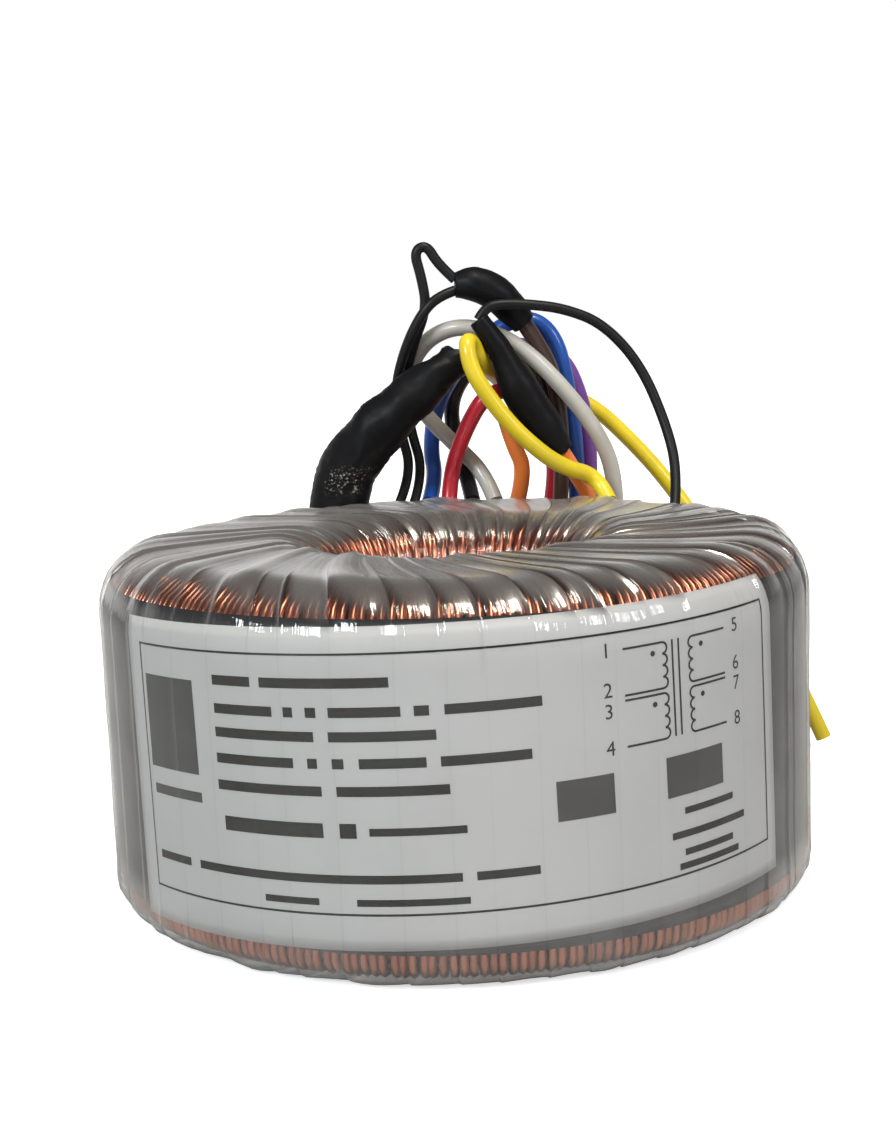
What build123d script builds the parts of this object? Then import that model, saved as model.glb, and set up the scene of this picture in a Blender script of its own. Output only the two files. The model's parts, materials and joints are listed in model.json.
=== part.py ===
# Toroidal mains transformer of about 100 VA with flying leads
# Millimetres, +Z up. The origin is the centre of the flat underside, on the axis of the centre hole,
# and -Y is the side that carries the label.

from build123d import *
import math
import os

# Driving sizes of the wound steel core
CORE_HOLE_DIAMETER = 47.28
CORE_BUILD = 16.375
CORE_HEIGHT = 32.22

# Rounded edges of the finished ring
TOP_EDGE_RADIUS = 8.0
BOTTOM_EDGE_RADIUS = 3.5
HOLE_EDGE_RADIUS = 8.0
INNER_EDGE_RADIUS = 1.0

# Thickness of each wrapped or wound layer, from the outside in, and the gap between two layers
FILM_WALL = 0.4
PAPER_THICKNESS = 0.14
BAND_THICKNESS = 0.2
SECONDARY_BUILD = 1.3
BARRIER_WALL = 0.3
PRIMARY_BUILD = 0.95
CAP_WALL = 1.0
LAYER_CLEARANCE = 0.05
FILM_CLEARANCE = 0.2

# Nylon end caps reach this far down the core's walls
CAP_SKIRT = 11.0

# Strands of the outer winding and laps of the film
STRAND_COUNT = 128
STRAND_RELIEF = 0.4
LAP_COUNT = 40
LAP_STEP = 0.15
LAP_SHARE = 0.93
HIDDEN_FACETS = 24

# Insulating band and label round the outer wall, by their distance from the ring's underside and top
BAND_BOTTOM_MARGIN = 4.5
BAND_TOP_MARGIN = 2.7
LABEL_BOTTOM_MARGIN = 5.2
LABEL_TOP_MARGIN = 4.3
LABEL_ANGLE = 106.0
LABEL_TILT = 1.9

# Leads, sleeved winding ends and how they seat on the ring
LEAD_DIAMETER = 2.6
TAIL_DIAMETER = 1.6
SEAT_CLEARANCE = 0.12
LEAD_BURY = 1.6
SLEEVE_TUCK = 0.6
BEND_SHARE = 0.45

# Depth of each layer below the finished surface
LABEL_DEPTH = FILM_WALL + FILM_CLEARANCE
BAND_DEPTH = LABEL_DEPTH + PAPER_THICKNESS + LAYER_CLEARANCE
SECONDARY_B_DEPTH = BAND_DEPTH + BAND_THICKNESS + LAYER_CLEARANCE
SECONDARY_A_DEPTH = SECONDARY_B_DEPTH + SECONDARY_BUILD + LAYER_CLEARANCE
BARRIER_DEPTH = SECONDARY_A_DEPTH + SECONDARY_BUILD + LAYER_CLEARANCE
PRIMARY_B_DEPTH = BARRIER_DEPTH + BARRIER_WALL + LAYER_CLEARANCE
PRIMARY_A_DEPTH = PRIMARY_B_DEPTH + PRIMARY_BUILD + LAYER_CLEARANCE
CAP_DEPTH = PRIMARY_A_DEPTH + PRIMARY_BUILD + LAYER_CLEARANCE
CORE_DEPTH = CAP_DEPTH + CAP_WALL + LAYER_CLEARANCE

# Finished ring: the core with every layer over it, whose flat facets clear the core's round
CORE_DIAMETER = CORE_HOLE_DIAMETER + 2 * CORE_BUILD
RING_DIAMETER = CORE_DIAMETER / math.cos(math.pi / HIDDEN_FACETS) + 2 * CORE_DEPTH
HOLE_DIAMETER = CORE_HOLE_DIAMETER - 2 * CORE_DEPTH
RING_HEIGHT = CORE_HEIGHT + 2 * CORE_DEPTH

# Routes of the leads, chosen by hand, from where they leave the ring or a sleeve
GREY_ROUTE = [(7.2, 43.6, 45.3), (5.8, 46.5, 49.4), (1.4, 47.8, 54.0), (-3.1, 48.0, 58.7),
              (-6.6, 45.6, 64.3), (-3.9, 43.0, 70.6), (1.3, 40.6, 73.4), (7.2, 39.9, 72.5),
              (12.7, 39.7, 69.2), (18.2, 40.6, 63.4), (23.7, 42.5, 56.1), (26.7, 45.0, 49.1),
              (27.0, 49.0, 36.0), (25.5, 52.0, 19.0), (18.0, 55.5, 4.5), (4.0, 57.6, 1.4),
              (-14.0, 58.4, 1.4), (-31.0, 56.5, 1.4), (-45.0, 50.0, 1.4)]
BLUE_ROUTE = [(-3.4, 44.1, 45.3), (-2.2, 50.0, 48.7), (-3.0, 52.5, 53.5), (-1.8, 51.5, 60.6),
              (2.1, 48.8, 66.9), (6.6, 47.4, 71.2), (10.7, 46.9, 73.9), (15.0, 46.6, 73.9),
              (18.0, 46.3, 70.4), (19.4, 46.5, 64.0), (20.5, 47.3, 56.2), (20.9, 48.8, 48.2),
              (20.4, 51.3, 34.0), (19.2, 55.5, 17.0),
              (12.0, 61.0, 4.5), (-2.0, 64.3, 1.4), (-19.0, 65.5, 1.4), (-36.0, 62.8, 1.4),
              (-50.0, 56.0, 1.4)]
VIOLET_ROUTE = [(0.9, 38.0, 67.4), (4.6, 39.4, 69.4), (9.3, 43.8, 70.0), (14.2, 49.0, 69.6),
                (19.2, 50.2, 67.8), (22.0, 50.6, 61.2), (23.2, 51.1, 53.4), (23.1, 51.8, 45.5),
                (24.5, 54.5, 34.0), (26.5, 57.5, 17.0), (34.0, 60.5, 4.5), (46.0, 60.0, 1.4),
                (57.0, 54.0, 1.4)]
BROWN_ROUTE = [(12.6, 41.0, 73.4), (15.0, 41.7, 69.7), (17.2, 43.2, 65.0), (18.1, 44.4, 58.6),
               (18.4, 46.0, 51.2), (17.3, 48.7, 36.0), (14.0, 53.5, 20.0), (8.0, 58.6, 5.5),
               (-6.0, 60.9, 1.4), (-20.0, 61.8, 1.4), (-34.0, 59.5, 1.4)]
RED_ROUTE = [(-0.2, 44.2, 45.3), (0.1, 45.4, 48.8), (1.4, 43.0, 53.7), (3.8, 40.6, 59.0),
             (6.1, 39.6, 62.3), (9.6, 41.6, 63.2), (13.2, 44.8, 62.8), (15.5, 46.8, 58.9),
             (16.8, 49.2, 53.5), (17.5, 50.4, 47.6), (14.5, 53.5, 33.0), (10.0, 59.0, 18.0),
             (0.0, 67.6, 4.6), (-14.0, 70.0, 1.4), (-30.0, 69.2, 1.4), (-44.0, 64.5, 1.4)]
BLACK_ROUTE = [(3.6, 44.1, 45.3), (2.9, 49.0, 49.0), (1.0, 53.2, 55.3), (0.6, 54.4, 61.2),
               (4.1, 53.2, 66.7), (9.1, 52.2, 69.1), (13.7, 53.0, 68.4), (16.4, 54.0, 63.6),
               (17.5, 54.4, 55.6), (18.0, 54.6, 48.9), (16.0, 57.0, 33.0), (13.0, 61.5, 17.0),
               (4.0, 72.5, 4.5), (-10.0, 75.0, 1.4), (-26.0, 74.6, 1.4), (-41.0, 70.5, 1.4)]
ORANGE_ROUTE = [(17.7, 38.5, 53.3), (20.1, 41.0, 49.4), (22.8, 44.5, 44.7), (24.0, 47.6, 32.0),
                (24.0, 47.9, 18.0), (18.5, 49.2, 6.5), (9.0, 50.4, 6.5), (4.5, 50.8, 19.0),
                (7.0, 50.4, 33.0), (12.6, 46.2, 49.2), (10.2, 44.4, 54.6), (9.2, 43.8, 58.8)]
YELLOW_ROUTE = [(24.8, 36.6, 45.3), (23.6, 40.4, 49.0), (17.3, 34.8, 51.1), (11.2, 33.0, 56.3),
                (6.8, 32.4, 61.8), (3.9, 31.8, 66.7), (3.3, 32.4, 70.9), (4.2, 35.2, 71.0),
                (5.7, 37.0, 67.4), (7.8, 43.5, 65.4), (10.7, 50.5, 62.4), (15.0, 57.0, 61.8),
                (19.9, 59.8, 61.2), (25.1, 59.0, 58.8), (31.2, 57.4, 52.6), (36.5, 56.5, 46.3),
                (47.0, 56.0, 31.0), (56.8, 55.3, 14.0), (61.9, 53.2, 1.6)]

# Routes of the winding ends in thin sleeving
TAIL_RIGHT_ROUTE = [(34.0, 28.3, 45.3), (34.9, 31.5, 50.3), (33.7, 34.5, 57.2), (30.2, 36.6, 66.4),
                    (24.6, 37.4, 72.9), (18.6, 37.2, 75.4), (13.4, 36.7, 76.2), (9.3, 36.5, 76.5),
                    (6.5, 36.3, 76.1), (5.4, 36.2, 74.2)]
TAIL_LEFT_ROUTE = [(-5.9, 43.8, 45.3), (-4.1, 46.2, 50.1), (-5.9, 44.2, 57.1), (-6.7, 42.8, 63.9),
                   (-4.9, 40.6, 70.7), (-2.5, 40.0, 76.3), (-3.2, 39.8, 81.2), (-4.2, 39.8, 85.0),
                   (-2.2, 39.8, 86.0), (-0.5, 39.6, 82.9), (2.0, 39.3, 80.5)]
TAIL_BACK_ROUTE = [(-8.3, 43.4, 45.3), (-5.9, 44.8, 50.3), (-7.6, 43.2, 57.3), (-8.1, 41.6, 64.0),
                   (-6.1, 39.0, 70.4), (-3.4, 38.2, 75.4), (-0.7, 38.2, 78.0), (2.0, 38.9, 78.8)]

# Shrink sleeves over the splices: centre points, each with its diameter
BOOT_STATIONS = [((-19.0, 43.0, 42.0), 9.0), ((-17.5, 41.0, 46.8), 9.2), ((-15.6, 39.5, 52.3), 9.0),
                 ((-11.2, 37.8, 57.5), 8.6), ((-6.0, 37.0, 62.3), 7.5), ((0.9, 38.0, 67.4), 5.6)]
ARCH_STATIONS = [((2.0, 39.2, 79.6), 3.9), ((5.1, 39.4, 79.6), 5.4), ((8.2, 39.8, 78.2), 5.6),
                 ((10.6, 40.4, 75.8), 5.1), ((12.6, 41.0, 73.4), 4.0)]
MIDDLE_STATIONS = [((5.4, 36.2, 74.2), 3.0), ((8.5, 36.4, 69.4), 3.8), ((11.5, 36.9, 63.2), 6.0),
                   ((14.9, 37.7, 57.5), 6.1), ((17.7, 38.5, 53.3), 4.0)]


def rounded_corner(centre_r, centre_z, radius, start, end, steps):
    """Points of a rounded corner of the section, from a start to an end angle in degrees."""
    angles = [math.radians(start + (end - start) * i / steps) for i in range(steps + 1)]
    return [(centre_r + radius * math.cos(a), centre_z + radius * math.sin(a)) for a in angles]


def ring_section(depth, top_steps=3, foot_steps=2):
    """Section of the ring at a depth below its finished surface, as (radius, height) points."""
    outer = RING_DIAMETER / 2 - depth
    inner = HOLE_DIAMETER / 2 + depth
    low = depth
    high = RING_HEIGHT - depth
    top = max(TOP_EDGE_RADIUS - depth, INNER_EDGE_RADIUS)
    foot = max(BOTTOM_EDGE_RADIUS - depth, INNER_EDGE_RADIUS)
    hole = max(HOLE_EDGE_RADIUS - depth, INNER_EDGE_RADIUS)
    points = rounded_corner(inner + hole, high - hole, hole, 180, 90, top_steps)
    points += rounded_corner(outer - top, high - top, top, 90, 0, top_steps)
    points += rounded_corner(outer - foot, low + foot, foot, 0, -90, foot_steps)
    points += rounded_corner(inner + hole, low + hole, hole, -90, -180, foot_steps)
    return points


def faceted_ring(section, count, relief=0.0, crown=0.0, share=0.5):
    """Closed ring of flat facets, with a valley after each of its count ridges.

    At the outer wall a valley is its ridge drawn in towards the axis by relief, and lowered by crown
    over the top. Both grow with the radius, which keeps every facet flat. The underside stays flat.
    """
    reach = max(r for r, z in section)
    middle = (max(z for r, z in section) + min(z for r, z in section)) / 2

    def corner(r, z, angle, drawn_in, lowered):
        height = z - lowered * r / reach if z > middle else z
        radius = r * (1 - drawn_in / reach)
        return Vector(radius * math.cos(angle), radius * math.sin(angle), height)

    pitch = 2 * math.pi / count
    rows = []
    for i in range(count):
        rows.append([corner(r, z, i * pitch, 0, 0) for r, z in section])
        if relief > 0:
            rows.append([corner(r, z, (i + share) * pitch, relief, crown) for r, z in section])
    faces = []
    for row, following in zip(rows, rows[1:] + rows[:1]):
        for j in range(len(section)):
            k = (j + 1) % len(section)
            faces.append(Face(Wire.make_polygon([row[j], row[k], following[k], following[j]])))
    return Solid(Shell(faces))


def hidden_ring(depth):
    """Everything inside a depth, in the few facets that serve where nothing shows."""
    return faceted_ring(ring_section(depth, top_steps=1, foot_steps=1), HIDDEN_FACETS)


def hidden_layer(depth, thickness):
    """Layer of even thickness, wound or wrapped over everything inside it."""
    return hidden_ring(depth) - hidden_ring(depth + thickness)


def wall_sheet(depth, thickness, bottom, top):
    """Thin sheet laid round the outer wall and its rounded edges, between two heights."""
    outside = make_face(Polyline(*ring_section(depth), close=True))
    inside = make_face(Polyline(*ring_section(depth + thickness), close=True))
    middle = (RING_DIAMETER + HOLE_DIAMETER) / 4
    window = Pos(middle + RING_DIAMETER / 2, (bottom + top) / 2) * Rectangle(RING_DIAMETER, top - bottom)
    return revolve(Plane.XZ * ((outside - inside) & window), axis=Axis.Z)


def ring_envelope(clearance):
    """The finished ring grown by a clearance, with true rounded edges, to seat the leads on."""
    outer = RING_DIAMETER / 2 + clearance
    inner = HOLE_DIAMETER / 2 - clearance
    height = RING_HEIGHT + 2 * clearance
    section = Pos((inner + outer) / 2, RING_HEIGHT / 2) * Rectangle(outer - inner, height)
    top_outer = section.vertices().sort_by(Axis.Y)[-2:].sort_by(Axis.X)[-1]
    section = fillet(top_outer, TOP_EDGE_RADIUS + clearance)
    top_inner = section.vertices().sort_by(Axis.X)[:2].sort_by(Axis.Y)[-1]
    section = fillet(top_inner, HOLE_EDGE_RADIUS + clearance)
    return revolve(Plane.XZ * section, axis=Axis.Z)


def core():
    """Wound steel strip."""
    strip = Cylinder(CORE_DIAMETER / 2, CORE_HEIGHT) - Cylinder(CORE_HOLE_DIAMETER / 2, CORE_HEIGHT)
    return Pos(0, 0, RING_HEIGHT / 2) * strip


def core_cap():
    """Moulded end cap over the core's top face, with a skirt down its outer wall and its hole."""
    outer = RING_DIAMETER / 2 - CAP_DEPTH
    inner = HOLE_DIAMETER / 2 + CAP_DEPTH
    high = RING_HEIGHT - CAP_DEPTH
    outline = ring_section(CAP_DEPTH, top_steps=1, foot_steps=1)[:4]
    outline += [(outer, high - CAP_SKIRT), (outer - CAP_WALL, high - CAP_SKIRT)]
    outline += [(outer - CAP_WALL, high - CAP_WALL), (inner + CAP_WALL, high - CAP_WALL)]
    outline += [(inner + CAP_WALL, high - CAP_SKIRT), (inner, high - CAP_SKIRT)]
    return faceted_ring(outline, HIDDEN_FACETS)


def outer_winding():
    """Last winding, whose strands run side by side over the wall, the rounded edge and the top."""
    section = ring_section(SECONDARY_B_DEPTH, foot_steps=1)
    strands = faceted_ring(section, STRAND_COUNT, relief=STRAND_RELIEF, crown=STRAND_RELIEF)
    return strands - hidden_ring(SECONDARY_B_DEPTH + SECONDARY_BUILD)


def outer_film():
    """Clear tape wrapped through the hole, each lap over the edge of the last, round a true bore."""
    laps = faceted_ring(ring_section(0), LAP_COUNT, relief=LAP_STEP, crown=LAP_STEP, share=LAP_SHARE)
    inside = faceted_ring(ring_section(FILM_WALL), LAP_COUNT)
    return laps - inside - Cylinder(HOLE_DIAMETER / 2, 3 * RING_HEIGHT)


def outer_band():
    """Insulating strip round the outer wall, under the label."""
    return wall_sheet(BAND_DEPTH, BAND_THICKNESS, BAND_BOTTOM_MARGIN, RING_HEIGHT - BAND_TOP_MARGIN)


def label():
    """Paper label, stuck a little askew round the front of the wall and just over its edge."""
    height = RING_HEIGHT - LABEL_TOP_MARGIN - LABEL_BOTTOM_MARGIN
    centre = (RING_HEIGHT - LABEL_TOP_MARGIN + LABEL_BOTTOM_MARGIN) / 2
    width = RING_DIAMETER * math.sin(math.radians(LABEL_ANGLE / 2))
    paper = wall_sheet(LABEL_DEPTH, PAPER_THICKNESS, 0, RING_HEIGHT)
    front = Pos(0, -RING_DIAMETER / 2, centre) * Rot(0, -LABEL_TILT, 0) * Box(width, RING_DIAMETER / 2, height)
    return paper & front


def bend_radii(points):
    """Radius of the arc at each corner of a route: as large as its two runs allow."""
    radii = []
    for before, here, after in zip(points, points[1:], points[2:]):
        turn = math.radians((here - before).get_angle(after - here))
        shorter = min((here - before).length, (after - here).length)
        radii.append(BEND_SHARE * shorter / math.tan(turn / 2))
    return radii


def flexible_tube(name, route, diameter, start_extra=0.0, end_extra=0.0):
    """Tube along straight runs and tangent arcs, with its first and last runs drawn out."""
    points = [Vector(*p) for p in route]
    points[0] -= (points[1] - points[0]).normalized() * start_extra
    points[-1] += (points[-1] - points[-2]).normalized() * end_extra
    radii = bend_radii(points)
    path = FilletPolyline(*points, radius=radii)
    tube = sweep(Plane(origin=path @ 0, z_dir=path % 0) * Circle(diameter / 2), path=path)
    ideal = math.pi * diameter ** 2 / 4 * path.length
    print(name, "length", round(path.length, 1), "volume share", round(tube.volume / ideal, 4))
    print("  radii", [round(r, 1) for r in radii])
    return tube


def shrink_sleeve(stations):
    """Shrunk sleeve through round sections square to its run."""
    centres = [Vector(*centre) for centre, diameter in stations]
    sections = []
    for i, (centre, diameter) in enumerate(stations):
        along = centres[min(i + 1, len(centres) - 1)] - centres[max(i - 1, 0)]
        plane = Plane(origin=centre, x_dir=(0, 1, 0), z_dir=along)
        sections.append(plane * Circle(diameter / 2))
    return loft(sections)


envelope = ring_envelope(SEAT_CLEARANCE)

# The ring, from the inside out
upper_cap = core_cap()
nodes = {
    "core": core(),
    "core_cap_top": upper_cap,
    "core_cap_bottom": mirror(upper_cap, about=Plane.XY.offset(RING_HEIGHT / 2)),
    "primary_winding_a": hidden_layer(PRIMARY_A_DEPTH, PRIMARY_BUILD),
    "primary_winding_b": hidden_layer(PRIMARY_B_DEPTH, PRIMARY_BUILD),
    "interwinding_barrier": hidden_layer(BARRIER_DEPTH, BARRIER_WALL),
    "secondary_winding_a": hidden_layer(SECONDARY_A_DEPTH, SECONDARY_BUILD),
    "secondary_winding_b": outer_winding(),
    "outer_band": outer_band(),
    "label": label(),
    "outer_film": outer_film(),
}

# Sleeves over the splices that show
boot = shrink_sleeve(BOOT_STATIONS) - envelope
arch_sleeve = shrink_sleeve(ARCH_STATIONS)
middle_sleeve = shrink_sleeve(MIDDLE_STATIONS)
nodes["primary_boot"] = boot
nodes["splice_sleeve_arch"] = arch_sleeve
nodes["splice_sleeve_middle"] = middle_sleeve

# Leads that come out from under the film
film_leads = {
    "lead_grey": GREY_ROUTE,
    "lead_blue": BLUE_ROUTE,
    "lead_red": RED_ROUTE,
    "lead_black": BLACK_ROUTE,
    "lead_yellow": YELLOW_ROUTE,
}
for name, route in film_leads.items():
    nodes[name] = flexible_tube(name, route, LEAD_DIAMETER, start_extra=LEAD_BURY) - envelope

# Leads that come out of a sleeve
sleeve_leads = {
    "lead_violet": (VIOLET_ROUTE, boot),
    "lead_brown": (BROWN_ROUTE, arch_sleeve),
    "lead_orange": (ORANGE_ROUTE, middle_sleeve),
}
for name, (route, sleeve) in sleeve_leads.items():
    nodes[name] = flexible_tube(name, route, LEAD_DIAMETER, start_extra=SLEEVE_TUCK) - sleeve

# Winding ends in thin sleeving, from under the film to their splice
tails = {
    "tail_right": (TAIL_RIGHT_ROUTE, middle_sleeve),
    "tail_left": (TAIL_LEFT_ROUTE, arch_sleeve),
    "tail_back": (TAIL_BACK_ROUTE, arch_sleeve),
}
for name, (route, sleeve) in tails.items():
    tail = flexible_tube(name, route, TAIL_DIAMETER, start_extra=LEAD_BURY, end_extra=SLEEVE_TUCK)
    nodes[name] = tail - envelope - sleeve

os.makedirs("parts", exist_ok=True)
for name, shape in nodes.items():
    export_step(shape, f"parts/{name}.step")
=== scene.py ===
"""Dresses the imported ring-core transformer: windings under clear film, label, leads, light and camera."""

from __future__ import annotations

import json
import logging
import math
import random
from dataclasses import dataclass, replace
from enum import Enum
from typing import Sequence

import bmesh
import bpy
from mathutils import Matrix, Vector, noise


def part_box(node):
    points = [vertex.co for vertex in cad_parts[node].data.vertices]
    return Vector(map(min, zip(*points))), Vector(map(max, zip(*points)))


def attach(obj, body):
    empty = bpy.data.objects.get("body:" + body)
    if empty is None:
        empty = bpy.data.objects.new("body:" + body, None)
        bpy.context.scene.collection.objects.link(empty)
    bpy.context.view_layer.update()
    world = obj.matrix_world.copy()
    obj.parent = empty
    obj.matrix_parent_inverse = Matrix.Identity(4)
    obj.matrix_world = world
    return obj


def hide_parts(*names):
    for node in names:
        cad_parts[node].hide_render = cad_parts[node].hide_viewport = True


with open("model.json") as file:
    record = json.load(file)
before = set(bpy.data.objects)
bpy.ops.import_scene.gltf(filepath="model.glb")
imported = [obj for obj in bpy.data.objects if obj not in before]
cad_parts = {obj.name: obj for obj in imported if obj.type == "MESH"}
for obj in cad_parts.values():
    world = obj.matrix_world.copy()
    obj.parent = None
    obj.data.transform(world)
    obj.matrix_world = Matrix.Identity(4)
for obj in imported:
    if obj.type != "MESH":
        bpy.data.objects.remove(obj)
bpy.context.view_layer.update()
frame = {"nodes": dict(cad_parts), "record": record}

LOG = logging.getLogger("transformer")
MM = 0.001
ROOT = "root"
PHOTO_HEIGHT_PX = 1137
Pair = tuple[float, float]
Point = tuple[float, float, float]
Colour = tuple[float, float, float]
WHITE: Colour = (1.0, 1.0, 1.0)
BLACK_RUBBER: Colour = (0.008, 0.008, 0.009)


class Field:
    """A node's output, with the operators of shader maths."""

    def __init__(self, graph: Graph, socket: bpy.types.NodeSocket) -> None:
        """Keeps the socket and the graph that it belongs to."""
        self.graph = graph
        self.socket = socket

    def _math(self, operation: str, *values: Operand) -> Field:
        """Adds a Math node.

        Args:
            operation: The Math node's operation.
            values: Its inputs, in order.

        Returns:
            The node's output.
        """
        inputs = dict(enumerate(values))
        return self.graph.field("ShaderNodeMath", {"operation": operation}, inputs)

    def __add__(self, other: Operand) -> Field:
        """Sum."""
        return self._math("ADD", self, other)

    __radd__ = __add__

    def __sub__(self, other: Operand) -> Field:
        """Difference."""
        return self._math("SUBTRACT", self, other)

    def __rsub__(self, other: Operand) -> Field:
        """Difference from a number."""
        return self._math("SUBTRACT", other, self)

    def __mul__(self, other: Operand) -> Field:
        """Product."""
        return self._math("MULTIPLY", self, other)

    __rmul__ = __mul__

    def __truediv__(self, other: Operand) -> Field:
        """Quotient."""
        return self._math("DIVIDE", self, other)

    def __pow__(self, other: Operand) -> Field:
        """Power."""
        return self._math("POWER", self, other)

    def floor(self) -> Field:
        """Whole part."""
        return self._math("FLOOR", self)

    def fraction(self) -> Field:
        """Part after the decimal point."""
        return self._math("FRACT", self)

    def clamped(self) -> Field:
        """Held between 0 and 1."""
        return self.graph.field("ShaderNodeClamp", {}, {"Value": self})

    def ramp(self, low: float, high: float, to_low: float = 0.0, to_high: float = 1.0) -> Field:
        """Smooth step from one pair of values to another.

        Args:
            low: Value that gives to_low.
            high: Value that gives to_high.
            to_low: Result at and below low.
            to_high: Result at and above high.

        Returns:
            The smoothed value.
        """
        inputs = {"Value": self, "From Min": low, "From Max": high, "To Min": to_low, "To Max": to_high}
        return self.graph.field("ShaderNodeMapRange", {"interpolation_type": "SMOOTHSTEP"}, inputs)


Operand = Field | float


class Graph:
    """The node tree of a material or of the world."""

    def __init__(self, owner: bpy.types.Material | bpy.types.World) -> None:
        """Empties the node tree of its owner."""
        self.owner = owner
        owner.use_nodes = True
        self.tree = owner.node_tree
        self.tree.nodes.clear()

    @classmethod
    def of_material(cls, name: str) -> Graph:
        """Starts an empty material of that name."""
        return cls(bpy.data.materials.new(name))

    def node(self, kind: str, settings: dict | None = None, inputs: dict | None = None) -> bpy.types.Node:
        """Adds any node.

        Args:
            kind: The node's type.
            settings: Its properties.
            inputs: Values or fields for its sockets, by name or number.

        Returns:
            The node.
        """
        node = self.tree.nodes.new(kind)
        for key, value in (settings or {}).items():
            setattr(node, key, value)
        for key, value in (inputs or {}).items():
            socket = node.inputs[key]
            if isinstance(value, Field):
                self.tree.links.new(value.socket, socket)
            elif isinstance(value, tuple) and len(value) == 3 and socket.type == "RGBA":
                socket.default_value = (*value, 1.0)
            else:
                socket.default_value = value
        return node

    def field(
        self, kind: str, settings: dict | None = None, inputs: dict | None = None, output: str | int = 0
    ) -> Field:
        """Adds any node and gives one of its outputs as a field."""
        return Field(self, self.node(kind, settings, inputs).outputs[output])

    def mix(self, low: Field | Colour, high: Field | Colour, share: Operand) -> Field:
        """Mixes two colours, from low at 0 to high at 1."""
        node = self.node("ShaderNodeMix", {"data_type": "RGBA"}, {0: share})
        for socket, value in ((node.inputs[6], low), (node.inputs[7], high)):
            if isinstance(value, Field):
                self.tree.links.new(value.socket, socket)
            else:
                socket.default_value = (*value, 1.0)
        return Field(self, node.outputs[2])

    def place(self) -> Field:
        """Object coordinates, in metres."""
        return self.field("ShaderNodeTexCoord", output="Object")

    def noise(self, vector: Field, scale: float, detail: float = 2.0, roughness: float = 0.5) -> Field:
        """Noise from 0 to 1."""
        inputs = {"Vector": vector, "Scale": scale, "Detail": detail, "Roughness": roughness}
        return self.field("ShaderNodeTexNoise", inputs=inputs)

    def stretched(self, vector: Field, scale: Point) -> Field:
        """A vector scaled along each axis."""
        return self.field("ShaderNodeMapping", inputs={"Vector": vector, "Scale": scale})

    def split(self, vector: Field) -> tuple[Field, Field, Field]:
        """The three parts of a vector."""
        node = self.node("ShaderNodeSeparateXYZ", inputs={0: vector})
        return tuple(Field(self, output) for output in node.outputs)

    def bump(self, height: Field, distance: float, strength: Operand = 1.0) -> Field:
        """Normal bent by a height from 0 to 1.

        Args:
            height: The height field.
            distance: What a height of 1 stands for, in metres.
            strength: Share of the effect.

        Returns:
            The normal.
        """
        inputs = {"Height": height, "Distance": distance, "Strength": strength}
        return self.field("ShaderNodeBump", inputs=inputs)

    def blend(self, share: Field, first: Field, second: Field) -> Field:
        """Blends two surfaces, from the first at 0 to the second at 1."""
        return self.field("ShaderNodeMixShader", inputs={0: share, 1: first, 2: second})

    def principled(self, **inputs: Operand | Colour) -> Field:
        """Principled surface, whose sockets are named with underscores for spaces."""
        named = {key.replace("_", " "): value for key, value in inputs.items()}
        return self.field("ShaderNodeBsdfPrincipled", inputs=named)

    def finish(self, surface: Field, output: str = "ShaderNodeOutputMaterial") -> bpy.types.ID:
        """Connects the surface to the output and gives the tree's owner."""
        self.node(output, inputs={"Surface": surface})
        return self.owner


@dataclass(frozen=True)
class CopperFinish:
    """Enamelled copper wire, with a tone of its own for each strand."""

    name: str
    dark: Colour = (0.30, 0.085, 0.05)
    bright: Colour = (0.56, 0.22, 0.13)
    roughness: float = 0.24
    coat: float = 0.35
    patch_scale: float = 160.0
    scuff_scale: float = 900.0
    scuff_depth: float = 0.03 * MM

    def build(self) -> bpy.types.Material:
        """Makes the material."""
        graph = Graph.of_material(self.name)
        strand = graph.field("ShaderNodeAttribute", {"attribute_name": "strand"}, output="Fac")
        place = graph.place()
        patches = graph.noise(place, self.patch_scale, 3.0)
        tone = (strand * 0.6 + patches * 0.5).clamped()
        scuffs = graph.noise(place, self.scuff_scale, 2.0)
        surface = graph.principled(
            Base_Color=graph.mix(self.dark, self.bright, tone),
            Metallic=1.0,
            Roughness=self.roughness + scuffs * 0.12,
            Coat_Weight=self.coat,
            Normal=graph.bump(scuffs, self.scuff_depth),
        )
        return graph.finish(surface)


@dataclass(frozen=True)
class TurnsFinish:
    """Copper of a hidden winding, whose turns are drawn as ribs across a plain ring, with painted shade in
    the grooves between them.
    """

    name: str
    turns: int
    dark: Colour = (0.10, 0.03, 0.02)
    bright: Colour = (0.45, 0.17, 0.10)
    roughness: float = 0.35
    cloud_scale: float = 120.0
    rib_depth: float = 0.4 * MM

    def build(self) -> bpy.types.Material:
        """Makes the material."""
        graph = Graph.of_material(self.name)
        place = graph.place()
        x, y, _ = graph.split(place)
        angle = graph.field("ShaderNodeMath", {"operation": "ARCTAN2"}, {0: y, 1: x})
        rib = (angle * (self.turns / (2 * math.pi))).fraction()
        height = rib * (1 - rib) * 4
        # Painted shade: the copper is darker in the grooves between the ribs and brighter on their crests.
        tone = height * (0.6 + graph.noise(place, self.cloud_scale) * 0.5)
        surface = graph.principled(
            Base_Color=graph.mix(self.dark, self.bright, tone),
            Metallic=1.0,
            Roughness=self.roughness,
            Normal=graph.bump(height, self.rib_depth),
        )
        return graph.finish(surface)


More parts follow.
